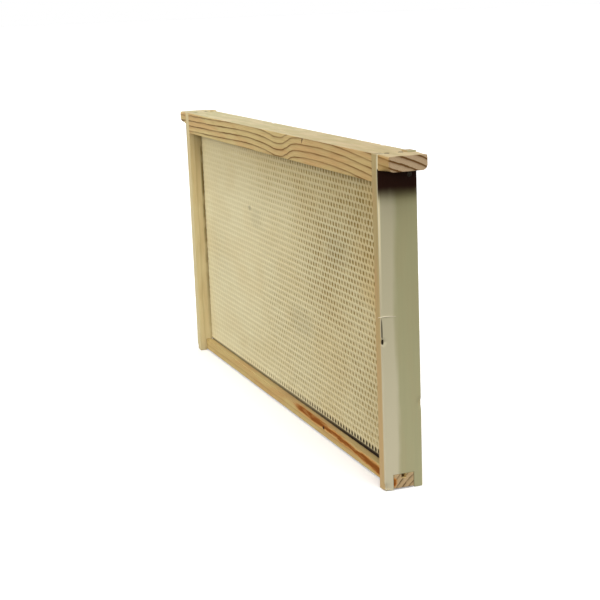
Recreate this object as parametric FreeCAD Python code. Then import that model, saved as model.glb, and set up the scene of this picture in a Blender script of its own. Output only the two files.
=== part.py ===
import FreeCAD, Part
import os

# A deep hive frame of the Langstroth pattern: a top bar with two lugs, two straight end bars,
# a bottom bar, an embossed foundation sheet held in grooves, and the ten nails that hold it.
#
# Millimetres. The origin is under the middle of the frame, in the plane of the end bars' feet.
# +X runs along the bars towards the right end bar, +Y towards the back, +Z up.

# ---------------------------------------------------------------- driving dimensions
FRAME_HEIGHT = 232.0          # feet of the end bars to the face of the top bar
FRAME_WIDTH = 28.0            # front to back, over the top bar and the end bars
TOP_BAR_LENGTH = 482.6        # over the two lugs
BODY_LENGTH = 448.0           # over the outer faces of the end bars

TOP_BAR_THICKNESS = 19.0
LUG_THICKNESS = 10.5
NECK_THICKNESS = 10.0         # also the depth of the notch, so the lug hooks a little over the end bar
NECK_WIDTH = 16.0             # the top bar's waist, between the tines of the end bar

END_BAR_THICKNESS = 9.5
BACK_TINE_RISE = 0.8          # the rear tines stand a little proud of the top bar

BOTTOM_BAR_WIDTH = 15.0
BOTTOM_BAR_THICKNESS = 9.8
BOTTOM_BAR_RISE = 1.0         # its underside is this far above the feet

GROOVE_WIDTH = 3.4
TOP_GROOVE_DEPTH = 6.0
BOTTOM_GROOVE_DEPTH = 3.0

SHEET_THICKNESS = 4.8         # over the crests of the cell walls on both faces
SHEET_RAIL_THICKNESS = 3.0    # the plain rails that stand in the grooves
SHEET_END_CLEARANCE = 0.4
SHEET_EDGE_CLEARANCE = 0.2

NAIL_LENGTH = 32.0
NAIL_SHANK_RADIUS = 0.8
NAIL_HEAD_RADIUS = 1.8
NAIL_HEAD_THICKNESS = 0.8
NAIL_POINT_LENGTH = 2.4
NAIL_POINT_RADIUS = 0.15
NAIL_ROW_OFFSET = 5.0         # from the middle plane, in the top bar and the bottom bar
LOCK_NAIL_OFFSET = 9.0        # from the middle plane, clear of the groove and the row above
LOCK_NAIL_DROP = 4.2          # below the underside of the lug

# ---------------------------------------------------------------- worked-out positions
END_FACE_X = BODY_LENGTH / 2
INNER_FACE_X = END_FACE_X - END_BAR_THICKNESS
END_BAR_MIDDLE_X = END_FACE_X - END_BAR_THICKNESS / 2
LUG_UNDERSIDE_Z = FRAME_HEIGHT - LUG_THICKNESS
NOTCH_FLOOR_Z = FRAME_HEIGHT - NECK_THICKNESS
TOP_BAR_UNDERSIDE_Z = FRAME_HEIGHT - TOP_BAR_THICKNESS
BOTTOM_BAR_TOP_Z = BOTTOM_BAR_RISE + BOTTOM_BAR_THICKNESS
SIDES = {"left": -1, "right": 1}
FACES = {"front": -1, "back": 1}


def block(x_range, y_range, z_range):
    """A box between two limits on each axis, given in either order."""
    low = [min(limits) for limits in (x_range, y_range, z_range)]
    high = [max(limits) for limits in (x_range, y_range, z_range)]
    size = [top - bottom for top, bottom in zip(high, low)]
    return Part.makeBox(size[0], size[1], size[2], FreeCAD.Vector(low[0], low[1], low[2]))


def centred_block(x_range, width, z_range):
    """A box whose width is centred on the frame's middle plane."""
    return block(x_range, (-width / 2, width / 2), z_range)


def joined(shapes):
    """One solid from pieces that meet face to face."""
    return shapes[0].fuse(shapes[1:]).removeSplitter()


# ---------------------------------------------------------------- nails
def nail(head_face, direction):
    """A flat-headed nail: the head's face is at head_face and the point lies along direction."""
    head_end = head_face + direction * NAIL_HEAD_THICKNESS
    shank_end = head_face + direction * (NAIL_LENGTH - NAIL_POINT_LENGTH)
    shank_length = NAIL_LENGTH - NAIL_POINT_LENGTH - NAIL_HEAD_THICKNESS
    head = Part.makeCylinder(NAIL_HEAD_RADIUS, NAIL_HEAD_THICKNESS, head_face, direction)
    shank = Part.makeCylinder(NAIL_SHANK_RADIUS, shank_length, head_end, direction)
    point = Part.makeCone(NAIL_SHANK_RADIUS, NAIL_POINT_RADIUS, NAIL_POINT_LENGTH, shank_end, direction)
    return joined([head, shank, point])


def frame_nails():
    """The ten nails by name: two down and two up at each end, and one lock nail under each lug."""
    down = FreeCAD.Vector(0, 0, -1)
    up = FreeCAD.Vector(0, 0, 1)
    lock_z = LUG_UNDERSIDE_Z - LOCK_NAIL_DROP
    nails = {}
    for side, x_sign in SIDES.items():
        x = x_sign * END_BAR_MIDDLE_X
        for face, y_sign in FACES.items():
            y = y_sign * NAIL_ROW_OFFSET
            nails[f"top_nail_{side}_{face}"] = nail(FreeCAD.Vector(x, y, FRAME_HEIGHT), down)
            nails[f"bottom_nail_{side}_{face}"] = nail(FreeCAD.Vector(x, y, BOTTOM_BAR_RISE), up)
        inward = FreeCAD.Vector(-x_sign, 0, 0)
        lock_face = FreeCAD.Vector(x_sign * END_FACE_X, x_sign * LOCK_NAIL_OFFSET, lock_z)
        nails[f"lock_nail_{side}"] = nail(lock_face, inward)
    return nails


# ---------------------------------------------------------------- wooden bars
def top_bar():
    """The thick middle, a narrow neck in each end bar's notch and a full-width lug beyond it."""
    middle = centred_block((-INNER_FACE_X, INNER_FACE_X), FRAME_WIDTH, (TOP_BAR_UNDERSIDE_Z, FRAME_HEIGHT))
    pieces = [middle]
    for x_sign in SIDES.values():
        neck_x = (x_sign * INNER_FACE_X, x_sign * END_FACE_X)
        lug_x = (x_sign * END_FACE_X, x_sign * TOP_BAR_LENGTH / 2)
        pieces.append(centred_block(neck_x, NECK_WIDTH, (NOTCH_FLOOR_Z, FRAME_HEIGHT)))
        pieces.append(centred_block(lug_x, FRAME_WIDTH, (LUG_UNDERSIDE_Z, FRAME_HEIGHT)))
    groove_z = (TOP_BAR_UNDERSIDE_Z, TOP_BAR_UNDERSIDE_Z + TOP_GROOVE_DEPTH)
    groove = centred_block((-INNER_FACE_X, INNER_FACE_X), GROOVE_WIDTH, groove_z)
    return joined(pieces).cut(groove)


def end_bar(x_sign):
    """A straight bar, notched at the head for the neck and slotted at the foot for the bottom bar."""
    bar_x = (x_sign * INNER_FACE_X, x_sign * END_FACE_X)
    bar = centred_block(bar_x, FRAME_WIDTH, (0, FRAME_HEIGHT))
    notch = centred_block(bar_x, NECK_WIDTH, (NOTCH_FLOOR_Z, FRAME_HEIGHT))
    slot = centred_block(bar_x, BOTTOM_BAR_WIDTH, (0, BOTTOM_BAR_TOP_Z))
    tine_tip = block(bar_x, (NECK_WIDTH / 2, FRAME_WIDTH / 2), (FRAME_HEIGHT, FRAME_HEIGHT + BACK_TINE_RISE))
    return joined([bar.cut(notch).cut(slot), tine_tip])


def bottom_bar():
    """A plain stick through both slots, grooved along the middle of its upper face."""
    length_x = (-END_FACE_X, END_FACE_X)
    stick = centred_block(length_x, BOTTOM_BAR_WIDTH, (BOTTOM_BAR_RISE, BOTTOM_BAR_TOP_Z))
    groove_z = (BOTTOM_BAR_TOP_Z - BOTTOM_GROOVE_DEPTH, BOTTOM_BAR_TOP_Z)
    return stick.cut(centred_block(length_x, GROOVE_WIDTH, groove_z))


# ---------------------------------------------------------------- foundation
def foundation_sheet():
    """The sheet between the bars, at the thickness of its cell walls, with a rail in each groove."""
    half_length = INNER_FACE_X - SHEET_END_CLEARANCE
    length_x = (-half_length, half_length)
    face_bottom_z = BOTTOM_BAR_TOP_Z + SHEET_EDGE_CLEARANCE
    face_top_z = TOP_BAR_UNDERSIDE_Z - SHEET_EDGE_CLEARANCE
    rail_bottom_z = BOTTOM_BAR_TOP_Z - BOTTOM_GROOVE_DEPTH + SHEET_EDGE_CLEARANCE
    rail_top_z = TOP_BAR_UNDERSIDE_Z + TOP_GROOVE_DEPTH - SHEET_EDGE_CLEARANCE
    cells = centred_block(length_x, SHEET_THICKNESS, (face_bottom_z, face_top_z))
    rails = centred_block(length_x, SHEET_RAIL_THICKNESS, (rail_bottom_z, rail_top_z))
    return joined([cells, rails])


# ---------------------------------------------------------------- assembly
fasteners = frame_nails()
timber = {"top_bar": top_bar(), "bottom_bar": bottom_bar()}
for side_name, sign in SIDES.items():
    timber[f"end_bar_{side_name}"] = end_bar(sign)

parts = {"foundation_sheet": foundation_sheet()}
parts.update(fasteners)
nail_group = Part.makeCompound(list(fasteners.values()))
for bar_name, bar_shape in timber.items():
    # each nail fills the hole that it made in the wood
    parts[bar_name] = bar_shape.cut(nail_group)

os.makedirs("parts", exist_ok=True)
for node_name, shape in parts.items():
    if len(shape.Solids) != 1 or not shape.isValid():
        raise RuntimeError(f"{node_name} is not one valid solid")
    shape.Solids[0].exportStep(f"parts/{node_name}.step")
    print(f"{node_name}: {shape.Volume:.1f} mm3")
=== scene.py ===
import math

import bmesh
import bpy
from mathutils import Matrix, Vector, noise


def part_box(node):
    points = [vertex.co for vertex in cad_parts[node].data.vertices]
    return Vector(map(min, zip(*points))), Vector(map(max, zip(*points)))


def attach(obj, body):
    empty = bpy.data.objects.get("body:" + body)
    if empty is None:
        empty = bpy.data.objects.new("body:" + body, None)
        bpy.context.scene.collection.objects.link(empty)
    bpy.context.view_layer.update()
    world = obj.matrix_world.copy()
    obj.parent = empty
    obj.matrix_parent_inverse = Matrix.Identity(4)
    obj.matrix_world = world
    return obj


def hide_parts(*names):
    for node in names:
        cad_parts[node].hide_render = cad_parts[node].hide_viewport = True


# A deep hive frame: pine bars, an embossed foundation sheet and ten nails.
# Shapes are worked out in millimetres in the CAD frame (+X to the right end bar, +Y to the back,
# +Z up) and scaled to metres when an object is made.

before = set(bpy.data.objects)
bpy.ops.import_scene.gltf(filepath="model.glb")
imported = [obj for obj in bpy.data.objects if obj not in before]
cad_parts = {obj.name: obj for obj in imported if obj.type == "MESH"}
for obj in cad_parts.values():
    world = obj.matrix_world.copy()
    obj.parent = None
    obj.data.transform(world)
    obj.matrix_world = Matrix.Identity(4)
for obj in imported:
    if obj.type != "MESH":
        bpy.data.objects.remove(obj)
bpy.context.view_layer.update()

MM = 0.001
FRONT, BACK = -1, 1
ENDS = {"left": -1, "right": 1}
FACES = {"front": FRONT, "back": BACK}


def box_mm(node):
    """A CAD node's lowest and highest corners, in millimetres."""
    low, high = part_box(node)
    return low / MM, high / MM


# ---------------------------------------------------------------- sizes taken from the frame
TOP_LOW, TOP_HIGH = box_mm("top_bar")
END_LOW, END_HIGH = box_mm("end_bar_right")
BASE_LOW, BASE_HIGH = box_mm("bottom_bar")
SHEET_LOW, SHEET_HIGH = box_mm("foundation_sheet")

END_FACE_X = END_HIGH.x
INNER_FACE_X = END_LOW.x
HALF_WIDTH = TOP_HIGH.y
FRAME_TOP = TOP_HIGH.z
NAIL_X = (END_FACE_X + INNER_FACE_X) / 2

# the CAD's own details that a node's box can't give
LUG_UNDERSIDE_Z = 221.5
NOTCH_FLOOR_Z = 222.0
NECK_HALF = 8.0
GROOVE_HALF = 1.7
TOP_GROOVE_DEPTH = 6.0
BASE_GROOVE_DEPTH = 3.0
NAIL_ROW_Y = 5.0
LOCK_NAIL_Y = 9.0
LOCK_NAIL_Z = 217.3
SHEET_EDGE = 0.2              # between the sheet's cells and the bars
RAIL_HALF = 1.35

JOINT_GAP = 0.22              # the hairline left at each joint


# ---------------------------------------------------------------- objects
def make_object(name, bm, material, smooth_below=None):
    """Turns a bmesh in millimetres into a named object in metres."""
    bmesh.ops.recalc_face_normals(bm, faces=bm.faces)
    mesh = bpy.data.meshes.new(name)
    bm.to_mesh(mesh)
    bm.free()
    mesh.transform(Matrix.Scale(MM, 4))
    mesh.materials.append(material)
    if smooth_below is not None:
        mesh.shade_smooth()
        mesh.set_sharp_from_angle(angle=math.radians(smooth_below))
    piece = bpy.data.objects.new(name, mesh)
    bpy.context.scene.collection.objects.link(piece)
    return piece


def stand_in(piece, node):
    """The piece is shown in place of a CAD node and moves with the frame."""
    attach(piece, "root")
    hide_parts(node)


# ---------------------------------------------------------------- material building
class Tree:
    """Short calls for wiring a material's nodes."""

    def __init__(self, name):
        self.material = bpy.data.materials.new(name)
        self.material.use_nodes = True
        self.nodes = self.material.node_tree.nodes
        self.links = self.material.node_tree.links
        self.shader = self.nodes["Principled BSDF"]

    def feed(self, socket, value):
        if isinstance(value, bpy.types.NodeSocket):
            self.links.new(value, socket)
        else:
            socket.default_value = value

    def math(self, operation, first, second=0.0, clamp=False):
        node = self.nodes.new("ShaderNodeMath")
        node.operation = operation
        node.use_clamp = clamp
        self.feed(node.inputs[0], first)
        self.feed(node.inputs[1], second)
        return node.outputs[0]

    def span(self, value, low, high, to_low=0.0, to_high=1.0):
        """Maps low..high to to_low..to_high with soft ends."""
        node = self.nodes.new("ShaderNodeMapRange")
        node.interpolation_type = "SMOOTHSTEP"
        for name, number in (("From Min", low), ("From Max", high), ("To Min", to_low), ("To Max", to_high)):
            node.inputs[name].default_value = number
        self.feed(node.inputs["Value"], value)
        return node.outputs["Result"]

    def times(self, first, second, clamp=False):
        return self.math("MULTIPLY", first, second, clamp)

    def plus(self, first, second):
        return self.math("ADD", first, second)

    def minus(self, first, second):
        return self.math("SUBTRACT", first, second)

    def hypotenuse(self, first, second):
        return self.math("SQRT", self.plus(self.times(first, first), self.times(second, second)))

    def mix(self, factor, first, second):
        node = self.nodes.new("ShaderNodeMix")
        node.data_type = "RGBA"
        node.clamp_factor = True
        self.feed(node.inputs[0], factor)
        self.feed(node.inputs[6], first)
        self.feed(node.inputs[7], second)
        return node.outputs[2]
    def ramp(self, value, stops):
        node = self.nodes.new("ShaderNodeValToRGB")
        elements = node.color_ramp.elements
        while len(elements) < len(stops):
            elements.new(0.5)
        for element, (place, colour) in zip(elements, stops):
            element.position = place
            element.color = colour
        self.feed(node.inputs[0], value)
        return node.outputs[0]

    def curve(self, value, points):
        """A smooth curve through points, both axes running 0..1."""
        node = self.nodes.new("ShaderNodeFloatCurve")
        marks = node.mapping.curves[0].points
        while len(marks) < len(points):
            marks.new(0.5, 0.5)
        for mark, place in zip(marks, points):
            mark.location = place
        node.mapping.update()
        self.feed(node.inputs["Value"], value)
        return node.outputs[0]

    def parts(self, vector):
        """A vector's X, Y and Z."""
        split = self.nodes.new("ShaderNodeSeparateXYZ")
        self.links.new(vector, split.inputs[0])
        return split.outputs

    def millimetres(self):
        """The surface point in the row frame, in millimetres, as a vector and its X, Y and Z."""
        place = self.nodes.new("ShaderNodeTexCoord").outputs["Object"]
        scale = self.nodes.new("ShaderNodeVectorMath")
        scale.operation = "SCALE"
        scale.inputs["Scale"].default_value = 1 / MM
        self.links.new(place, scale.inputs[0])
        return scale.outputs[0], *self.parts(scale.outputs[0])

    def facing(self):
        """The three parts of the surface's normal."""
        return self.parts(self.nodes.new("ShaderNodeNewGeometry").outputs["Normal"])
    def spot(self, vector, centre, radii, soft=0.4):
        """A mask: 1 in an ellipsoid about centre, falling to 0 outside it over the share called soft."""
        shift = self.nodes.new("ShaderNodeVectorMath")
        shift.operation = "SUBTRACT"
        self.links.new(vector, shift.inputs[0])
        shift.inputs[1].default_value = centre
        scaled = self.stretched(shift.outputs[0], radii)
        length = self.nodes.new("ShaderNodeVectorMath")
        length.operation = "LENGTH"
        self.links.new(scaled, length.inputs[0])
        return self.span(length.outputs["Value"], 1.0 - soft / 2, 1.0 + soft / 2, 1.0, 0.0)

    def vector(self, x, y, z):
        node = self.nodes.new("ShaderNodeCombineXYZ")
        for socket, value in zip(node.inputs, (x, y, z)):
            self.feed(socket, value)
        return node.outputs[0]

    def stretched(self, vector, sizes, offset=0.0):
        """The vector over a feature size on each axis, for a noise of scale 1."""
        node = self.nodes.new("ShaderNodeVectorMath")
        node.operation = "MULTIPLY_ADD"
        self.links.new(vector, node.inputs[0])
        node.inputs[1].default_value = [1 / size for size in sizes]
        node.inputs[2].default_value = (offset, offset, offset)
        return node.outputs[0]

    def noise(self, vector, detail=2.0, roughness=0.5):
        node = self.nodes.new("ShaderNodeTexNoise")
        node.inputs["Scale"].default_value = 1.0
        node.inputs["Detail"].default_value = detail
        node.inputs["Roughness"].default_value = roughness
        self.links.new(vector, node.inputs["Vector"])
        return node.outputs[0]

    def patches(self, vector, sizes, seed, low, high, to_low=0.0, to_high=1.0, detail=2.0):
        """Soft patches of a feature size on each axis: noise, mapped from low..high."""
        noise_value = self.noise(self.stretched(vector, sizes, seed), detail)
        return self.span(noise_value, low, high, to_low, to_high)

    def bump(self, height, depth_mm, strength):
        node = self.nodes.new("ShaderNodeBump")
        node.inputs["Strength"].default_value = strength
        node.inputs["Distance"].default_value = depth_mm * MM
        self.links.new(height, node.inputs["Height"])
        return node.outputs[0]

def rgb(red, green, blue):
    """A display colour, 0 to 255, as a linear one with alpha."""
    return (*(((c / 255 + 0.055) / 1.055) ** 2.4 for c in (red, green, blue)), 1.0)


# ---------------------------------------------------------------- pine
# (share of a growth ring's width, darkness there)
RING_SHADES = [(0.0, 0.0), (0.48, 0.04), (0.70, 0.26), (0.82, 0.90), (0.95, 1.0), (1.0, 0.0)]
FLECK = rgb(120, 88, 44)
# colours of the painted sheen on faces that look upward
SHEEN_PAINT = rgb(208, 201, 166)
SHEEN_PAINT_CLOUD = rgb(180, 172, 126)
END_GRAIN_ARC = rgb(50, 27, 6)


def ring_shade(tree, local, pith, spacing, warp, seed):
    """How dark the growth rings are, from pale early wood to the dark line of late wood."""
    length, y, depth = tree.parts(local)
    slow = tree.noise(tree.stretched(local, (60, 25, 25), seed))
    bend = tree.times(tree.minus(slow, 0.5), 1.4)
    if warp:
        low, high, rise, points = warp
        share = tree.math("DIVIDE", tree.minus(length, low), high - low)
        bend = tree.plus(bend, tree.times(tree.curve(share, points), rise))
    from_pith_y = tree.minus(y, pith[0])
    from_pith_d = tree.minus(tree.minus(depth, pith[1]), bend)
    ripple = tree.noise(tree.stretched(local, (16, 3.0, 3.0), seed + 3), detail=4, roughness=0.6)
    ripple = tree.times(tree.minus(ripple, 0.5), 0.9)
    radius = tree.plus(tree.hypotenuse(from_pith_y, from_pith_d), ripple)
    ring = tree.math("FRACT", tree.math("DIVIDE", radius, spacing))
    return tree.ramp(ring, [(place, (level, level, level, 1)) for place, level in RING_SHADES])


def pine(name, along, pith, spacing, colours, warp=None, seed=0.0, line=1.0, painted_sheen=0.0, shine=0.27,
         marks=()):
    """Sawn softwood, cut from growth rings about a pith line that runs along one axis.

    along: the axis of the fibres, "X" or "Z". pith: where the pith line crosses the two other axes.
    colours: early wood, late wood, end grain and a tint that drifts through the board.
    warp: (low, high, rise, points), a bend of the rings along the fibres. line: strength of late wood.
    painted_sheen: how strongly a painted sheen pales and greys the upper faces. shine: the strength of the
    surface reflection.
    marks: functions that take the tree, the point in millimetres and the colour so far, and return a colour.
    """
    early, late, end_grain, tint = colours
    tree = Tree(name)
    place, x, y, z = tree.millimetres()
    local = tree.vector(x, y, z) if along == "X" else tree.vector(z, y, x)
    normal_x, _, normal_z = tree.facing()
    upward = tree.span(normal_z, 0.4, 0.9)

    strength = tree.patches(local, (45, 6, 6), seed + 11, 0.3, 0.7, 0.55 * line, line)
    late_share = tree.times(ring_shade(tree, local, pith, spacing, warp, seed), strength)
    late_share = tree.times(late_share, tree.span(upward, 0.0, 1.0, 1.0, 0.5))
    fibre = tree.noise(tree.stretched(local, (22, 0.42, 0.42), seed + 5), detail=4, roughness=0.65)
    flecks = tree.patches(local, (5, 0.35, 0.35), seed + 7, 0.68, 0.78)
    drift = tree.patches(local, (48, 9, 7), seed + 9, 0.38, 0.66, detail=3)

    colour = tree.mix(drift, early, tint)
    colour = tree.mix(late_share, colour, late)
    colour = tree.mix(tree.span(fibre, 0.35, 0.75, 0.0, 0.26), colour, late)
    colour = tree.mix(tree.times(flecks, 0.35), colour, FLECK)
    # painted sheen: the upward faces are paled and greyed in cloudy patches, for the studio's sheen on them
    if painted_sheen:
        colour = tree.mix(tree.times(upward, painted_sheen), colour, SHEEN_PAINT)
        cloudy = tree.patches(local, (30, 6, 6), seed + 17, 0.40, 0.62, 0.0, 0.95 * painted_sheen, detail=3)
        colour = tree.mix(tree.times(upward, cloudy), colour, SHEEN_PAINT_CLOUD)

    on_end = tree.span(tree.math("ABSOLUTE", normal_x if along == "X" else normal_z), 0.6, 0.95)
    pores = tree.noise(tree.stretched(local, (3, 0.35, 0.35), seed + 13), detail=3, roughness=0.7)
    end_colour = tree.mix(tree.span(pores, 0.35, 0.7, 0.0, 0.40), end_grain, late)
    end_colour = tree.mix(tree.times(late_share, 1.9, clamp=True), end_colour, END_GRAIN_ARC)
    colour = tree.mix(tree.times(on_end, 0.9), colour, end_colour)
    for mark in marks:
        colour = mark(tree, place, colour)

    tree.feed(tree.shader.inputs["Base Color"], colour)
    tree.feed(tree.shader.inputs["Roughness"], tree.span(fibre, 0.3, 0.8, 0.52, 0.74))
    tree.shader.inputs["Specular IOR Level"].default_value = shine
    relief = tree.plus(tree.times(fibre, 0.7), tree.times(late_share, 0.5))
    tree.feed(tree.shader.inputs["Normal"], tree.bump(relief, 0.16, 0.6))
    return tree.material


# ---------------------------------------------------------------- marks on the pine
STREAK_START_X = 26.0
STREAK_START_Z = 9.9
STREAK_LENGTH = 188.0
STREAK_SINK = 4.4
STREAK_HALF_HEIGHT = 5.0
STREAK_REACH = 2.4            # how far it goes in from the front face
# (share of the streak's length, share of its height)
STREAK_WIDTHS = [(0.0, 0.35), (0.10, 0.62), (0.24, 0.72), (0.36, 0.50), (0.46, 0.38), (0.56, 0.52),
                 (0.66, 0.40), (0.78, 0.60), (0.90, 0.72), (1.0, 0.66)]
PIT_X = 93.0                  # a dark pit in the bottom bar's front
PIT_Z = 7.4
NICK_Z = 105.8                # a nick in the right end bar's front outer edge


def heartwood(tree, place, colour):
    """A red-brown streak that starts at the bottom bar's upper front edge, past its middle, and sinks
    towards the right end. A dark pit lies in it."""
    x, y, z = tree.parts(place)
    along = tree.math("DIVIDE", tree.minus(x, STREAK_START_X), STREAK_LENGTH, clamp=True)
    sink = tree.times(tree.times(along, along), STREAK_SINK)
    ragged = tree.noise(tree.stretched(place, (9, 3, 1.8), 21), detail=5, roughness=0.68)
    ragged = tree.times(tree.minus(ragged, 0.5), 3.4)
    from_middle = tree.plus(tree.minus(z, STREAK_START_Z), tree.plus(sink, ragged))
    half_height = tree.times(tree.curve(along, STREAK_WIDTHS), STREAK_HALF_HEIGHT)
    up = tree.math("DIVIDE", from_middle, half_height)
    inward = tree.math("DIVIDE", tree.minus(y, BASE_LOW.y), STREAK_REACH)
    distance = tree.hypotenuse(up, inward)
    broken = tree.patches(place, (17, 5, 2.2), 33, 0.32, 0.47, 0.66, 1.0, detail=3)
    started = tree.times(tree.span(along, 0.0, 0.10), broken)
    fringe = tree.times(tree.span(distance, 0.75, 1.25, 1.0, 0.0), started)
    core = tree.times(tree.span(distance, 0.50, 0.90, 1.0, 0.0), started)
    colour = tree.mix(tree.times(fringe, 0.85), colour, rgb(204, 136, 64))
    colour = tree.mix(tree.times(core, 0.92), colour, rgb(132, 68, 2))
    pit = tree.spot(place, (PIT_X, BASE_LOW.y, PIT_Z), (2.2, 1.5, 1.2))
    return tree.mix(pit, colour, rgb(44, 18, 4))


def right_half(tree, place, colour):
    """The top bar is a little darker and warmer to the right, and more so on the right lug's front."""
    x, y, _ = tree.parts(place)
    colour = tree.mix(tree.span(x, -180.0, 230.0, 0.0, 0.26), colour, rgb(164, 116, 56))
    at_front = tree.span(y, TOP_LOW.y + 0.6, TOP_LOW.y + 1.6, 1.0, 0.0)
    on_lug = tree.span(x, 222.0, 226.0, 0.0, 0.30)
    return tree.mix(tree.times(on_lug, at_front), colour, rgb(142, 98, 8))


def edge_check(tree, place, colour):
    """A short dark check in the top bar's upper front edge, where the growth rings crowd together."""
    check = tree.spot(place, (86.0, TOP_LOW.y, 230.4), (0.7, 2.0, 2.6))
    return tree.mix(check, colour, rgb(88, 58, 22))


def painted_lug_shadow(tree, place, colour):
    """Painted shadow in the corner below each lug, near black under the lug and olive where it thins out."""
    x, _, z = tree.parts(place)
    outside = tree.span(tree.math("ABSOLUTE", x), 222.6, 223.6)
    below_lug = tree.times(outside, tree.span(z, LUG_UNDERSIDE_Z, LUG_UNDERSIDE_Z + 1.5, 1.0, 0.0))
    uneven = tree.times(tree.noise(tree.stretched(place, (9, 9, 24), 3.0), detail=2), 3.0)
    level = tree.plus(z, uneven)
    # painted shadow: olive at its lower edge, near black just under the lug
    olive = tree.times(below_lug, tree.span(level, 197.0, 211.0, 0.0, 0.62))
    dark = tree.times(below_lug, tree.span(level, 202.0, 212.0, 0.0, 0.99))
    return tree.mix(dark, tree.mix(olive, colour, rgb(84, 76, 18)), rgb(38, 12, 0))


def painted_shade_by_sheet(tree, place, colour):
    """Painted shade down the end bar's inner face beside the sheet, and painted shade in the corner under the
    top bar."""
    x, y, z = tree.parts(place)
    inside = tree.span(tree.math("ABSOLUTE", x), INNER_FACE_X + 0.4, INNER_FACE_X + 0.8, 1.0, 0.0)
    from_middle = tree.math("ABSOLUTE", y)
    beside = tree.span(from_middle, 3.4, 5.2, 1.0, 0.0)
    uneven = tree.patches(place, (8, 8, 14), 9.0, 0.35, 0.55, 0.5, 1.0, detail=3)
    higher = tree.span(z, 20.0, 190.0, 0.30, 0.85)
    line = tree.times(beside, tree.times(uneven, higher))
    near_sheet = tree.span(from_middle, 3.0, 13.0, 1.0, 0.0)
    corner = tree.times(near_sheet, tree.span(z, 165.0, 212.0, 0.0, 0.55))
    # painted shade: a line beside the sheet and a darkening in the corner under the top bar
    shade = tree.times(inside, tree.math("MAXIMUM", line, corner))
    return tree.mix(shade, colour, rgb(104, 84, 32))


def outer_layer(tree, place, colour):
    """The right end bar was sawn across two layers: grey outside and at the front, tan within. Painted shade
    darkens it towards the top, and a painted highlight lies along its worn front outer corner near the top."""
    x, y, z = tree.parts(place)
    wander = tree.times(tree.noise(tree.stretched(place, (9, 9, 70), 6.0), detail=2), 1.4)
    slope = tree.times(tree.plus(y, HALF_WIDTH), 0.2)
    beyond = tree.minus(tree.minus(x, 221.1), slope)
    grey = tree.span(tree.minus(beyond, wander), -0.45, 0.45)
    face = tree.span(x, 223.0, 223.7)
    colour = tree.mix(tree.times(face, 0.80), colour, rgb(170, 172, 136))
    colour = tree.mix(tree.times(grey, 0.85), colour, rgb(210, 201, 172))
    front_tan = tree.times(tree.span(y, -13.6, -13.3, 1.0, 0.0), tree.span(x, 221.8, 223.0, 1.0, 0.0))
    front_tan = tree.times(front_tan, tree.span(z, 40.0, 150.0, 0.8, 0.0))
    colour = tree.mix(front_tan, colour, rgb(198, 168, 120))
    # painted shade: darker towards the top, where less light comes up from the floor
    colour = tree.mix(tree.span(z, 10.0, 200.0, 0.0, 0.36), colour, rgb(130, 126, 88))
    # painted highlight along the worn front outer corner, near the top
    corner = tree.times(tree.span(x, 222.2, 223.2), tree.span(y, -13.3, -12.7, 1.0, 0.0))
    painted_edge_highlight = tree.times(corner, tree.span(z, 120.0, 208.0, 0.0, 0.8))
    return tree.mix(painted_edge_highlight, colour, rgb(244, 230, 188))


def edge_split(tree, place, colour):
    """A split along the right end bar's front outer edge, ending in a nick."""
    split = tree.spot(place, (END_FACE_X, -HALF_WIDTH, 112.5), (0.75, 0.75, 9.5))
    nick = tree.spot(place, (END_FACE_X - 0.4, -HALF_WIDTH, NICK_Z), (1.7, 1.7, 2.0))
    return tree.mix(tree.math("MAXIMUM", tree.times(split, 0.8), nick), colour, rgb(34, 26, 12))


# ---------------------------------------------------------------- the four pines
# the bend of the top bar's rings: (share of its length, share of the rise)
TOP_BEND = [(0.0, 0.34), (0.20, 0.41), (0.38, 0.485), (0.46, 0.44), (0.51, 0.355), (0.545, 0.295),
            (0.585, 0.43), (0.635, 0.68), (0.69, 0.72), (0.75, 0.72), (0.82, 0.65), (0.88, 0.55),
            (0.93, 0.455), (1.0, 0.35)]

top_pine = pine(
    "top_bar_pine", "X", pith=(-58.0, 77.8), spacing=4.6, seed=1.0, line=1.1, painted_sheen=0.65,
    marks=[right_half, edge_check], warp=(-225.0, 245.0, 20.0, TOP_BEND),
    colours=(rgb(213, 191, 130), rgb(108, 76, 22), rgb(202, 183, 155), rgb(211, 176, 118)))
base_pine = pine(
    "bottom_bar_pine", "X", pith=(30.0, -24.0), spacing=3.7, seed=4.0, line=0.5, painted_sheen=0.12, shine=0.14,
    marks=[heartwood],
    colours=(rgb(206, 181, 120), rgb(152, 112, 52), rgb(196, 170, 132), rgb(202, 164, 106)))
end_pines = {
    "left": pine(
        "end_bar_left_pine", "Z", pith=(20.0, -262.0), spacing=3.3, seed=8.0, line=0.30, shine=0.12,
        marks=[painted_shade_by_sheet, painted_lug_shadow],
        colours=(rgb(222, 207, 160), rgb(160, 136, 86), rgb(196, 176, 142), rgb(212, 192, 144))),
    "right": pine(
        "end_bar_right_pine", "Z", pith=(26.0, 186.0), spacing=3.5, seed=15.0, line=0.22, shine=0.12,
        marks=[outer_layer, painted_shade_by_sheet, painted_lug_shadow, edge_split],
        colours=(rgb(200, 174, 122), rgb(150, 126, 82), rgb(196, 178, 148), rgb(206, 166, 114))),
}


# ---------------------------------------------------------------- bars cut from the solid
def mirrored(half):
    """Lines on one side of the middle, and the same on the other."""
    return [-v for v in reversed(half)] + half

def grid_lines(breaks, step, margin=0.9):
    """Every break, a line just inside each one, and even lines between them no further apart than step."""
    lines = [breaks[0]]
    for low, high in zip(breaks, breaks[1:]):
        inner = (low + margin, high - margin) if high - low > 3 * margin else ((low + high) / 2,) * 2
        count = max(1, math.ceil((inner[1] - inner[0]) / step))
        marks = [inner[0] + (inner[1] - inner[0]) * i / count for i in range(count + 1)]
        lines += sorted(set(marks)) + [high]
    return lines


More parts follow.
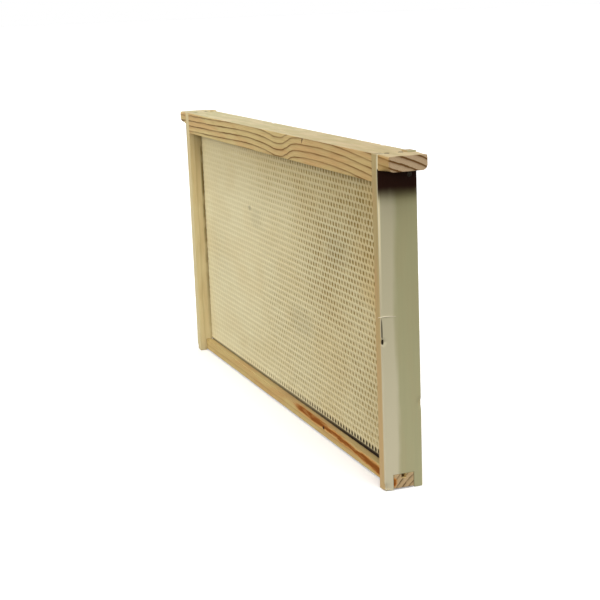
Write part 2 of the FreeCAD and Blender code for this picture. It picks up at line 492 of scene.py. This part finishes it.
def cut_solid(lines, is_wood):
    """The closed surface between the cells of a grid whose middles pass is_wood and those that don't."""
    counts = [len(axis) - 1 for axis in lines]
    middles = [[(a + b) / 2 for a, b in zip(axis, axis[1:])] for axis in lines]
    cells = {(i, j, k) for i in range(counts[0]) for j in range(counts[1]) for k in range(counts[2])
             if is_wood(middles[0][i], middles[1][j], middles[2][k])}
    bm = bmesh.new()
    corners = {}

    def corner(key):
        if key not in corners:
            corners[key] = bm.verts.new([lines[axis][key[axis]] for axis in range(3)])
        return corners[key]

    for cell in sorted(cells):
        for axis in range(3):
            for side in (0, 1):
                beside = list(cell)
                beside[axis] += 1 if side else -1
                if tuple(beside) in cells:
                    continue
                first, second = (axis + 1) % 3, (axis + 2) % 3
                keys = []
                for u, v in ((0, 0), (1, 0), (1, 1), (0, 1)):
                    key = list(cell)
                    key[axis] += side
                    key[first] += u
                    key[second] += v
                    keys.append(tuple(key))
                if not side:
                    keys.reverse()
                bm.faces.new([corner(key) for key in keys])
    return bm


def round_edges(bm, radius):
    """Rounds every outside corner, as handling and a planer's chatter leave it."""
    bm.normal_update()
    sharp = [e for e in bm.edges if len(e.link_faces) == 2 and e.calc_face_angle_signed() > math.radians(60)]
    bmesh.ops.bevel(bm, geom=sharp, offset=radius, segments=2, profile=0.55, affect="EDGES",
                    clamp_overlap=True)

def weather(bm, seed, bow=0.10, waviness=0.045):
    """Moves the surface a little, as in dry sawn timber."""
    bm.normal_update()
    shift = Vector((seed, seed * 2, seed * 3))
    for vert in bm.verts:
        slow = noise.noise(vert.co / 70 + shift)
        quick = noise.noise(vert.co / 7 + shift)
        vert.co += vert.normal * (slow * bow + quick * waviness)


def dent(bm, place, radius, depth):
    """Presses the surface straight in around one place. The bottom is flat, the sides soft."""
    bm.normal_update()
    centre = Vector(place)
    for vert in bm.verts:
        share = (vert.co - centre).length / radius
        if share < 1:
            fall = 1.0 if share < 0.6 else 0.5 + 0.5 * math.cos(math.pi * (share - 0.6) / 0.4)
            vert.co -= vert.normal * depth * fall


DENT_RADIUS = 3.4             # of the hollow round a nail's head
DENT_DEPTH = 0.34
NAIL_LINES = [NAIL_X - 1.7, NAIL_X, NAIL_X + 1.7]     # grid lines that hold that hollow
# (x, y, radius, depth) of the handling marks along the edges of the top face
TOP_MARKS = ((-160, -14, 3.0, 0.5), (-52, 14, 4.0, 0.6), (88, -14, 3.5, 0.7), (171, 14, 3.0, 0.5))

def wear_lugs(bm, edge_z, inward, radius):
    """Rounds the lugs' long edges at one height, more and more towards their ends."""
    for vert in bm.verts:
        size = radius * min((abs(vert.co.x) - END_FACE_X - 2.0) / 9.0, 1.0)
        across = abs(vert.co.y) - (HALF_WIDTH - size)
        beyond = size - (vert.co.z - edge_z) * inward
        reach = math.hypot(across, beyond)
        if size > 0 and across > 0 and beyond > 0 and reach > size:
            vert.co.y = math.copysign(HALF_WIDTH - size + across * size / reach, vert.co.y)
            vert.co.z = edge_z + inward * (size - beyond * size / reach)


def top_bar_piece():
    middle_end = INNER_FACE_X - JOINT_GAP
    lug_start = END_FACE_X + JOINT_GAP
    neck = NECK_HALF - JOINT_GAP
    groove_top = TOP_LOW.z + TOP_GROOVE_DEPTH

    def is_wood(x, y, z):
        if abs(x) < middle_end:
            return abs(y) > GROOVE_HALF or z > groove_top
        if abs(x) < lug_start:
            return abs(y) < neck and z > NOTCH_FLOOR_Z + JOINT_GAP
        return z > LUG_UNDERSIDE_Z

    half_x = [GROOVE_HALF, middle_end, *NAIL_LINES, lug_start, TOP_HIGH.x]
    half_y = [GROOVE_HALF, 3.3, NAIL_ROW_Y, 6.5, neck, HALF_WIDTH]
    xs = grid_lines(mirrored(half_x), 1.9)
    ys = grid_lines(mirrored(half_y), 1.6, 0.7)
    zs = grid_lines([TOP_LOW.z, groove_top, LUG_UNDERSIDE_Z, NOTCH_FLOOR_Z + JOINT_GAP, FRAME_TOP], 1.6)
    bm = cut_solid((xs, ys, zs), is_wood)
    round_edges(bm, 0.45)
    weather(bm, 1.3)
    for x_sign in ENDS.values():
        for y_sign in FACES.values():
            dent(bm, (x_sign * NAIL_X, y_sign * NAIL_ROW_Y, FRAME_TOP), DENT_RADIUS, DENT_DEPTH)
    for x, y, radius, depth in TOP_MARKS:
        dent(bm, (x, y, FRAME_TOP), radius, depth)
    wear_lugs(bm, LUG_UNDERSIDE_Z, 1, 4.2)
    wear_lugs(bm, FRAME_TOP, -1, 1.9)
    return make_object("top_bar_piece", bm, top_pine, 40)


def end_bar_piece(side):
    x_sign = ENDS[side]
    low, high = box_mm(f"end_bar_{side}")
    slot_half = BASE_HIGH.y + 1.5 * JOINT_GAP
    slot_top = BASE_HIGH.z + JOINT_GAP
    tine_rise = high.z - FRAME_TOP

    def is_wood(x, y, z):
        if z > FRAME_TOP and y < NECK_HALF:
            return False
        if z > NOTCH_FLOOR_Z and abs(y) < NECK_HALF:
            return False
        return z > slot_top or abs(y) > slot_half

    ys = grid_lines([low.y, -NECK_HALF, -slot_half, slot_half, NECK_HALF, LOCK_NAIL_Y + 1.5, high.y],
                    1.7, 0.45)
    zs = grid_lines([low.z, slot_top, NICK_Z - 4, NICK_Z, NICK_Z + 4, LOCK_NAIL_Z - DENT_RADIUS, LOCK_NAIL_Z,
                     NOTCH_FLOOR_Z, FRAME_TOP, high.z], 1.9, tine_rise / 2)
    xs = grid_lines([low.x, high.x], 1.6)
    bm = cut_solid((xs, ys, zs), is_wood)
    round_edges(bm, 0.35)
    weather(bm, 5.1 if side == "left" else 7.7)
    outer_x = x_sign * END_FACE_X
    dent(bm, (outer_x, x_sign * LOCK_NAIL_Y, LOCK_NAIL_Z), DENT_RADIUS, DENT_DEPTH)
    dent(bm, (outer_x, low.y, 1.0), 4.5, 0.9)
    dent(bm, (outer_x, high.y, 60.0), 4.0, 0.5)
    if side == "right":
        dent(bm, (outer_x, low.y, NICK_Z), 2.6, 1.2)
        dent(bm, (NAIL_X, low.y, FRAME_TOP), 4.0, 0.6)
    piece = make_object(f"end_bar_{side}_piece", bm, end_pines[side], 40)
    if side == "right":
        piece.data.materials.append(bare_fibre())
        lifted_splinter(piece.data, splinter_path(low.y - 0.2, high.x + 0.2), 0.26)
    return piece


def splinter_path(front_y, outer_x):
    """From the right end bar's front, round its outer corner and back along its outer face."""
    return [(218.6, front_y, 121.4), (221.4, front_y - 0.2, 122.5), (outer_x, front_y, 123.2),
            (outer_x + 0.2, -11.0, 123.4), (outer_x, -7.0, 123.0), (outer_x, -3.0, 122.5)]

def lifted_splinter(mesh, path, radius):
    """Adds a thin fibre, torn from the wood, that tapers to both ends of its path."""
    bm = bmesh.new()
    bm.from_mesh(mesh)
    points = [Vector(point) for point in path]
    sides = 6
    rings = []
    for index, point in enumerate(points):
        along = points[min(index + 1, len(points) - 1)] - points[max(index - 1, 0)]
        turn = along.to_track_quat("Z", "Y")
        width = radius * (0.25 + 0.75 * math.sin(math.pi * index / (len(points) - 1)))
        ring = [point + turn @ Vector((width * math.cos(a), width * math.sin(a), 0))
                for a in (2 * math.pi * k / sides for k in range(sides))]
        rings.append([bm.verts.new(corner * MM) for corner in ring])
    faces = [bm.faces.new(rings[0][::-1]), bm.faces.new(rings[-1])]
    for low_ring, high_ring in zip(rings, rings[1:]):
        for k in range(sides):
            after = (k + 1) % sides
            faces.append(bm.faces.new((low_ring[k], low_ring[after], high_ring[after], high_ring[k])))
    for face in faces:
        face.material_index = 1
    bm.to_mesh(mesh)
    bm.free()


def bare_fibre():
    """The pale, clean inside of the wood."""
    tree = Tree("splinter_fibre")
    place = tree.millimetres()[0]
    grain = tree.noise(tree.stretched(place, (2.0, 2.0, 0.3), 4.0))
    tree.feed(tree.shader.inputs["Base Color"], tree.mix(grain, rgb(246, 240, 220), rgb(232, 220, 188)))
    tree.shader.inputs["Roughness"].default_value = 0.7
    return tree.material


def bottom_bar_piece():
    groove_floor = BASE_HIGH.z - BASE_GROOVE_DEPTH

    def is_wood(x, y, z):
        return abs(y) > GROOVE_HALF or z < groove_floor

    xs = grid_lines([BASE_LOW.x, *mirrored(NAIL_LINES), BASE_HIGH.x], 3.2)
    ys = grid_lines(mirrored([GROOVE_HALF, NAIL_ROW_Y, BASE_HIGH.y]), 1.6, 0.7)
    zs = grid_lines([BASE_LOW.z, groove_floor, BASE_HIGH.z], 2.2, 0.7)
    bm = cut_solid((xs, ys, zs), is_wood)
    round_edges(bm, 0.35)
    weather(bm, 9.4)
    for x_sign in ENDS.values():
        for y_sign in FACES.values():
            dent(bm, (x_sign * NAIL_X, y_sign * NAIL_ROW_Y, BASE_LOW.z), DENT_RADIUS, DENT_DEPTH)
    dent(bm, (PIT_X, BASE_LOW.y, PIT_Z + 0.2), 2.4, 0.5)
    return make_object("bottom_bar_piece", bm, base_pine, 40)


# ---------------------------------------------------------------- foundation
CELL_WIDTH = 5.4              # across the flats of a worker cell
CELL_RADIUS = CELL_WIDTH / math.sqrt(3)
RIM_SHARE = 0.77              # the mouth of a cell over its pitch
FLOOR_SHARE = 0.42
CELL_DEPTH = 0.78
APEX_DEPTH = 0.90
SHEET_WAVE = 0.3
SHEET_END = 0.4               # between the CAD sheet's ends and the end bars
END_GAP = 1.1                 # from the outermost cells to the end bars
ROW_LIFT = 0.4                # shifts of the lattice on the sheet
COLUMN_SHIFT = 0.9
SHALLOWEST = 0.28             # the cells' depth at the far left, over their full depth
# from the lowest cells to the bottom bar, where the sheet sits a little skew
LEFT_GAP, RIGHT_GAP = 1.3, 2.8
# (middle, half sizes, strength) of the faint grey marks on the sheet; the last one is on its back
SMUDGES = [((-78, -2.4, 157.5), (4, 4, 2.2), 0.38), ((-62, -2.4, 150), (14, 4, 8), 0.12),
           ((40, -2.4, 80), (26, 4, 12), 0.12), ((120, -2.4, 150), (22, 4, 12), 0.12),
           ((-150, 2.4, 90), (24, 4, 10), 0.15)]

def cell_fill(x):
    """How deep the cells are at x, over their full depth. Wax fills them towards the left."""
    share = min(max((x + 214.0) / 350.0, 0.0), 1.0)
    return SHALLOWEST + (1 - SHALLOWEST) * share * share * (3 - 2 * share)

def slit_height(x):
    """Height of the lowest cells above the bottom bar."""
    return LEFT_GAP + (RIGHT_GAP - LEFT_GAP) * (x - SHEET_LOW.x) / (SHEET_HIGH.x - SHEET_LOW.x)


def wax_and_shade_on_walls(tree, place, x, z):
    """The wax on the cell walls, in blotches and streaks, with bare patches near the right end. Painted shade
    darkens it to the right and under the top bar.
    """
    blotch = tree.noise(tree.stretched(place, (70, 40, 50), 2.0), detail=3)
    wall = tree.mix(tree.span(blotch, 0.35, 0.7), rgb(222, 212, 172), rgb(217, 203, 160))
    streaks = tree.patches(place, (60, 10, 2.6), 7.0, 0.45, 0.7, 0.0, 0.25)
    wall = tree.mix(streaks, wall, rgb(208, 196, 150))
    # painted shade: darker towards the right end
    rightward = tree.span(x, -200.0, 200.0)
    wall = tree.mix(tree.times(rightward, 0.30), wall, rgb(178, 156, 108))
    # painted shade under the top bar
    wall = tree.mix(tree.span(z, 150.0, TOP_LOW.z, 0.0, 0.34), wall, rgb(168, 146, 92))
    bare = tree.times(tree.span(x, 140.0, 205.0), tree.span(blotch, 0.40, 0.60, 0.2, 0.6))
    return tree.mix(bare, wall, rgb(196, 166, 104))


def shade_in_cells(tree, place, depth, x, z):
    """Painted shade down in the cells, over the cell floors' own darker plastic: darker with depth and to the
    right, lighter low on the sheet.
    """
    in_cell = tree.times(tree.span(depth, 0.16, 0.72), tree.span(x, -200.0, 160.0, 0.60, 0.98))
    uneven = tree.patches(place, (11, 11, 9), 13.0, 0.32, 0.62, 0.55, 1.0, detail=3)
    lower = tree.span(z, 20.0, 120.0, 0.72, 1.0)
    return tree.times(in_cell, tree.times(uneven, lower))


def painted_edge_shade(tree, depth, x, z):
    """Painted shade in the lowest cells, in the slit below them and in the cells under the top bar."""
    skew = tree.times(x, (RIGHT_GAP - LEFT_GAP) / (SHEET_HIGH.x - SHEET_LOW.x))
    above_slit = tree.minus(z, skew)
    start = BASE_HIGH.z + slit_height(0)
    low = tree.span(above_slit, start + 1.4, start + 6.4, 1.0, 0.0)
    low = tree.times(low, tree.span(x, -60.0, 150.0, 0.4, 1.0))
    top = tree.span(z, TOP_LOW.z - 3.5, TOP_LOW.z - 0.5, 0.0, 0.6)
    painted_cell_shade = tree.times(tree.math("MAXIMUM", low, top), tree.span(depth, 0.08, 0.46))
    slit = tree.span(above_slit, start + 0.1, start + 1.8, 1.0, 0.0)
    slit = tree.times(slit, tree.span(x, -120.0, 180.0, 0.55, 0.9))
    return tree.math("MAXIMUM", painted_cell_shade, slit)


def sheet_material():
    """Wax-coated plastic: pale on the cell walls and darker down in the cells."""
    tree = Tree("foundation_wax")
    place, x, y, z = tree.millimetres()
    depth = tree.minus(SHEET_HIGH.y, tree.math("ABSOLUTE", y))
    speck = tree.noise(tree.stretched(place, (1.2, 1.2, 1.2), 5.0), detail=3, roughness=0.6)
    in_cell = shade_in_cells(tree, place, depth, x, z)
    colour = tree.mix(in_cell, wax_and_shade_on_walls(tree, place, x, z), rgb(132, 110, 54))
    colour = tree.mix(tree.span(speck, 0.50, 0.78, 0.0, 0.35), colour, rgb(196, 174, 122))
    for centre, radii, strength in SMUDGES:
        smudge = tree.times(tree.spot(place, centre, radii, 0.9), strength)
        colour = tree.mix(smudge, colour, rgb(112, 104, 78))
    # painted shade: near black in the slit, the lowest cells and the cells under the top bar
    colour = tree.mix(painted_edge_shade(tree, depth, x, z), colour, rgb(34, 20, 4))
    tree.feed(tree.shader.inputs["Base Color"], colour)
    tree.feed(tree.shader.inputs["Roughness"], tree.span(speck, 0.3, 0.7, 0.45, 0.65))
    tree.shader.inputs["Specular IOR Level"].default_value = 0.2
    tree.feed(tree.shader.inputs["Normal"], tree.bump(speck, 0.08, 0.5))
    return tree.material

def hexagon(centre, share):
    """Six places round a cell's middle, from the upper right corner anticlockwise."""
    return [(centre[0] + share * CELL_RADIUS * math.cos(math.radians(30 + 60 * k)),
             centre[1] + share * CELL_RADIUS * math.sin(math.radians(30 + 60 * k))) for k in range(6)]


def emboss(bm, side, x_range, z_range, lift):
    """One face of the sheet: a lattice of cells a little larger than the sheet, open towards side."""
    rows = math.ceil((z_range[1] - z_range[0]) / (1.5 * CELL_RADIUS)) + 3
    columns = math.ceil((x_range[1] - x_range[0]) / CELL_WIDTH) + 3
    crest = side * SHEET_HIGH.y

    def ring(points, depth):
        return [bm.verts.new((px, crest - side * depth, pz)) for px, pz in points]

    def face(*verts):
        bm.faces.new(verts if side == FRONT else verts[::-1])

    rims = {}
    for j in range(rows):
        for i in range(columns):
            centre = (x_range[0] + CELL_WIDTH * (i - 1 + 0.5 * (j % 2)) + COLUMN_SHIFT,
                      z_range[0] + 1.5 * CELL_RADIUS * (j - 1) + lift)
            rim = rims[i, j] = ring(hexagon(centre, RIM_SHARE), 0.0)
            fill = cell_fill(centre[0])
            floor = ring(hexagon(centre, FLOOR_SHARE), CELL_DEPTH * fill)
            apex = bm.verts.new((centre[0], crest - side * APEX_DEPTH * fill, centre[1]))
            for k in range(6):
                after = (k + 1) % 6
                face(rim[k], rim[after], floor[after], floor[k])
                face(floor[k], floor[after], apex)
    for (i, j), rim in rims.items():
        east = rims.get((i + 1, j))
        north_east = rims.get((i + j % 2, j + 1))
        north_west = rims.get((i - 1 + j % 2, j + 1))
        if east:
            face(rim[5], east[3], east[2], rim[0])
        if north_east:
            face(rim[0], north_east[4], north_east[3], rim[1])
        if north_west:
            face(rim[1], north_west[5], north_west[4], rim[2])
        if east and north_east:
            face(rim[0], east[2], north_east[4])
        if north_east and north_west:
            face(rim[1], north_east[3], north_west[5])


def sheet_edges(x_range, z_high):
    """The sheet's left, right, bottom and top edges: a point on each and the way out."""
    left, right = x_range
    low_left = Vector((left, 0, BASE_HIGH.z + slit_height(left)))
    low_right = Vector((right, 0, BASE_HIGH.z + slit_height(right)))
    downward = (low_right - low_left).cross(Vector((0, 1, 0))).normalized()
    if downward.z > 0:
        downward.negate()
    return [(low_left, Vector((-1, 0, 0))), (low_right, Vector((1, 0, 0))), (low_left, downward),
            (Vector((0, 0, z_high)), Vector((0, 0, 1)))]


def trim_and_close(bm, edges):
    """Cuts the lattice back to the sheet's four edges and joins its front and back along them."""
    for point, outward in edges:
        everything = bm.verts[:] + bm.edges[:] + bm.faces[:]
        bmesh.ops.bisect_plane(bm, geom=everything, dist=1e-4, plane_co=point, plane_no=outward,
                               clear_outer=True)
    def on(vert, edge):
        return abs((vert.co - edge[0]).dot(edge[1])) < 1e-3

    rim = {v for e in bm.edges if e.is_boundary for v in e.verts}
    for upright in edges[:2]:
        for level in edges[2:]:
            bm.edges.new([v for v in rim if on(v, upright) and on(v, level)])
    for edge in edges:
        loop = [e for e in bm.edges if len(e.link_faces) < 2 and all(on(v, edge) for v in e.verts)]
        bmesh.ops.triangle_fill(bm, edges=loop, use_beauty=True)


def add_rail(bm, x_range, left_z, right_z):
    """A plain rail in a bar's groove, between two heights at each end."""
    ends = zip(x_range, (left_z, right_z))
    corners = [(x, y, z) for x, heights in ends for y in (-RAIL_HALF, RAIL_HALF) for z in heights]
    verts = [bm.verts.new(corner) for corner in corners]
    bmesh.ops.convex_hull(bm, input=verts)


def foundation_piece():
    x_range = (SHEET_LOW.x - SHEET_END + END_GAP, SHEET_HIGH.x + SHEET_END - END_GAP)
    z_range = (BASE_HIGH.z, TOP_LOW.z - SHEET_EDGE)
    edges = sheet_edges(x_range, z_range[1])
    bm = bmesh.new()
    emboss(bm, FRONT, x_range, z_range, ROW_LIFT)
    emboss(bm, BACK, x_range, z_range, ROW_LIFT + CELL_RADIUS)
    trim_and_close(bm, edges)
    for vert in bm.verts:
        edge = min(max(min(vert.co.z - BASE_HIGH.z, z_range[1] - vert.co.z), 0), 20) / 20
        vert.co.y += SHEET_WAVE * edge * noise.noise(Vector((vert.co.x / 90, 0.5, vert.co.z / 80)))
    overlap = 0.3
    full_length = (SHEET_LOW.x, SHEET_HIGH.x)
    tops = [BASE_HIGH.z + slit_height(x) + overlap for x in full_length]
    add_rail(bm, full_length, (SHEET_LOW.z, tops[0]), (SHEET_LOW.z, tops[1]))
    add_rail(bm, full_length, (z_range[1] - overlap, SHEET_HIGH.z), (z_range[1] - overlap, SHEET_HIGH.z))
    return make_object("foundation_sheet_piece", bm, sheet_material())


# ---------------------------------------------------------------- nails
NAIL_SIDES = 20
# (radius, distance from the face of the head), from the middle of the head to the point
NAIL_PROFILE = [(1.45, 0.0), (1.72, 0.08), (1.8, 0.24), (1.8, 0.62), (1.66, 0.78), (0.95, 0.86), (0.8, 1.1),
                (0.8, 29.4), (0.42, 31.0), (0.08, 31.95)]
HEAD_SINK = 0.10


def steel():
    """Drawn wire: fine turning marks, and a dull film in patches."""
    tree = Tree("nail_steel")
    place = tree.millimetres()[0]
    film = tree.noise(tree.stretched(place, (0.9, 0.9, 0.9), 1.0), detail=4, roughness=0.6)
    scratch = tree.noise(tree.stretched(place, (0.12, 1.5, 0.4), 2.0), detail=2)
    colour = tree.mix(tree.span(film, 0.35, 0.7), rgb(74, 64, 52), rgb(40, 31, 22))
    tree.feed(tree.shader.inputs["Base Color"], colour)
    tree.shader.inputs["Metallic"].default_value = 0.6
    tree.feed(tree.shader.inputs["Roughness"], tree.span(film, 0.3, 0.7, 0.48, 0.72))
    tree.feed(tree.shader.inputs["Normal"], tree.bump(scratch, 0.03, 0.5))
    return tree.material


def nail_piece(node, head_face, direction, material):
    """A round wire nail turned from its profile, its head pressed just below the wood's face."""
    way = Vector(direction)
    bm = bmesh.new()
    rings = []
    for radius, distance in NAIL_PROFILE:
        turn = [2 * math.pi * k / NAIL_SIDES for k in range(NAIL_SIDES)]
        rings.append([bm.verts.new((radius * math.cos(a), radius * math.sin(a), distance)) for a in turn])
    for near_ring, far_ring in zip(rings, rings[1:]):
        for k in range(NAIL_SIDES):
            after = (k + 1) % NAIL_SIDES
            bm.faces.new((near_ring[k], near_ring[after], far_ring[after], far_ring[k]))
    for cap in (rings[0], rings[-1]):
        bm.faces.new(cap)
    turned = way.to_track_quat("Z", "Y").to_matrix().to_4x4()
    bm.transform(Matrix.Translation(Vector(head_face) + way * HEAD_SINK) @ turned)
    piece = make_object(f"{node}_piece", bm, material, 35)
    stand_in(piece, node)


def all_nails():
    material = steel()
    for side, x_sign in ENDS.items():
        for face, y_sign in FACES.items():
            x, y = x_sign * NAIL_X, y_sign * NAIL_ROW_Y
            nail_piece(f"top_nail_{side}_{face}", (x, y, FRAME_TOP), (0, 0, -1), material)
            nail_piece(f"bottom_nail_{side}_{face}", (x, y, BASE_LOW.z), (0, 0, 1), material)
        place = (x_sign * END_FACE_X, x_sign * LOCK_NAIL_Y, LOCK_NAIL_Z)
        nail_piece(f"lock_nail_{side}", place, (-x_sign, 0, 0), material)


# ---------------------------------------------------------------- the object
stand_in(top_bar_piece(), "top_bar")
for side_name in ENDS:
    stand_in(end_bar_piece(side_name), f"end_bar_{side_name}")
stand_in(bottom_bar_piece(), "bottom_bar")
stand_in(foundation_piece(), "foundation_sheet")
all_nails()


# ---------------------------------------------------------------- stage, light and camera
def floor():
    """A wide, pale, matt floor just under the feet."""
    bm = bmesh.new()
    bmesh.ops.create_circle(bm, cap_ends=True, segments=96, radius=30000)
    tree = Tree("floor_pale")
    place = tree.millimetres()[0]
    cloud = tree.noise(tree.stretched(place, (900, 900, 900), 1.0), detail=2)
    tree.feed(tree.shader.inputs["Base Color"], tree.mix(cloud, (0.93, 0.93, 0.93, 1), (0.96, 0.96, 0.96, 1)))
    tree.shader.inputs["Roughness"].default_value = 0.9
    tree.shader.inputs["Specular IOR Level"].default_value = 0.0
    tree.shader.inputs["Emission Color"].default_value = (1, 1, 1, 1)
    tree.shader.inputs["Emission Strength"].default_value = 0.22
    ground = make_object("floor", bm, tree.material)
    ground.location.z = -0.0002
    # the floor's own bounce would fill the shadows that the softboxes leave under the lugs
    ground.visible_diffuse = False
    ground.visible_glossy = False


def towards(azimuth, elevation):
    """A direction out from the frame. Azimuth runs from the front (-Y) towards +X."""
    around, up = math.radians(azimuth), math.radians(elevation)
    return Vector((math.sin(around) * math.cos(up), -math.cos(around) * math.cos(up), math.sin(up)))


def far_softbox(name, azimuth, elevation, strength, softness):
    """A soft lamp far off. strength is the brightness of a white card that faces it."""
    lamp = bpy.data.lights.new(name, "SUN")
    lamp.energy = strength * math.pi
    lamp.angle = math.radians(softness)
    lamp.color = LAMP_COLOUR
    light = bpy.data.objects.new(name, lamp)
    light.rotation_euler = towards(azimuth, elevation).to_track_quat("Z", "Y").to_euler()
    bpy.context.scene.collection.objects.link(light)


LAMP_AIM = Vector((-0.1, 0, 0.116))


def near_softbox(name, azimuth, elevation, distance, size, strength):
    """A square soft lamp close by, so the end nearer to it is brighter. It is turned to LAMP_AIM, which
    is half way up the frame and left of its middle."""
    lamp = bpy.data.lights.new(name, "AREA")
    lamp.energy = strength * (math.pi * distance) ** 2
    lamp.size = size
    lamp.color = LAMP_COLOUR
    aim = towards(azimuth, elevation)
    light = bpy.data.objects.new(name, lamp)
    light.location = aim * distance + LAMP_AIM
    light.rotation_euler = aim.to_track_quat("Z", "Y").to_euler()
    bpy.context.scene.collection.objects.link(light)


# (sine of the elevation, brightness) of the studio round the frame
SKY_LEVELS = ((-1.0, 0.08), (-0.06, 0.08), (-0.02, 1.0), (0.07, 1.0), (0.30, 0.45))


def sky():
    """A pale wall at the horizon, a dimmer ceiling above it and a nearly dark lower half."""
    world = bpy.data.worlds.new("studio")
    world.use_nodes = True
    nodes, links = world.node_tree.nodes, world.node_tree.links
    split = nodes.new("ShaderNodeSeparateXYZ")
    links.new(nodes.new("ShaderNodeTexCoord").outputs["Generated"], split.inputs[0])
    shade = nodes.new("ShaderNodeValToRGB")
    elements = shade.color_ramp.elements
    while len(elements) < len(SKY_LEVELS):
        elements.new(0.5)
    for element, (height, level) in zip(elements, SKY_LEVELS):
        element.position = (height + 1) / 2
        element.color = (level, level, level, 1)
    share = nodes.new("ShaderNodeMapRange")
    share.inputs["From Min"].default_value = -1.0
    links.new(split.outputs["Z"], share.inputs["Value"])
    links.new(share.outputs["Result"], shade.inputs[0])
    links.new(shade.outputs[0], nodes["Background"].inputs["Color"])
    bpy.context.scene.world = world


LAMP_COLOUR = (1.0, 0.99, 0.97)
CAMERA_PLACE = Vector((1.0318, -0.3718, 0.3310))
CAMERA_AZIMUTH = 69.6
CAMERA_ELEVATION = 12.4
CAMERA_ROLL = 2.2
CAMERA_LENS = 81.4


def camera():
    lens = bpy.data.cameras.new("camera")
    lens.lens = CAMERA_LENS
    lens.sensor_width = 36.0
    eye = bpy.data.objects.new("camera", lens)
    eye.location = CAMERA_PLACE
    tilt = Matrix.Rotation(math.radians(90 - CAMERA_ELEVATION), 4, "X")
    turn = Matrix.Rotation(math.radians(CAMERA_AZIMUTH), 4, "Z")
    roll = Matrix.Rotation(math.radians(-CAMERA_ROLL), 4, "Z")
    eye.rotation_euler = (turn @ tilt @ roll).to_euler()
    bpy.context.scene.collection.objects.link(eye)
    bpy.context.scene.camera = eye


floor()
near_softbox("left_softbox", -17, 15, 1.7, 0.9, 0.35)
far_softbox("right_softbox", 45, 17, 0.385, 30)
far_softbox("overhead_softbox", 88, 60, 0.47, 30)
far_softbox("rear_softbox", 190, 40, 0.30, 40)
sky()
camera()
bpy.context.scene.view_settings.view_transform = "Standard"
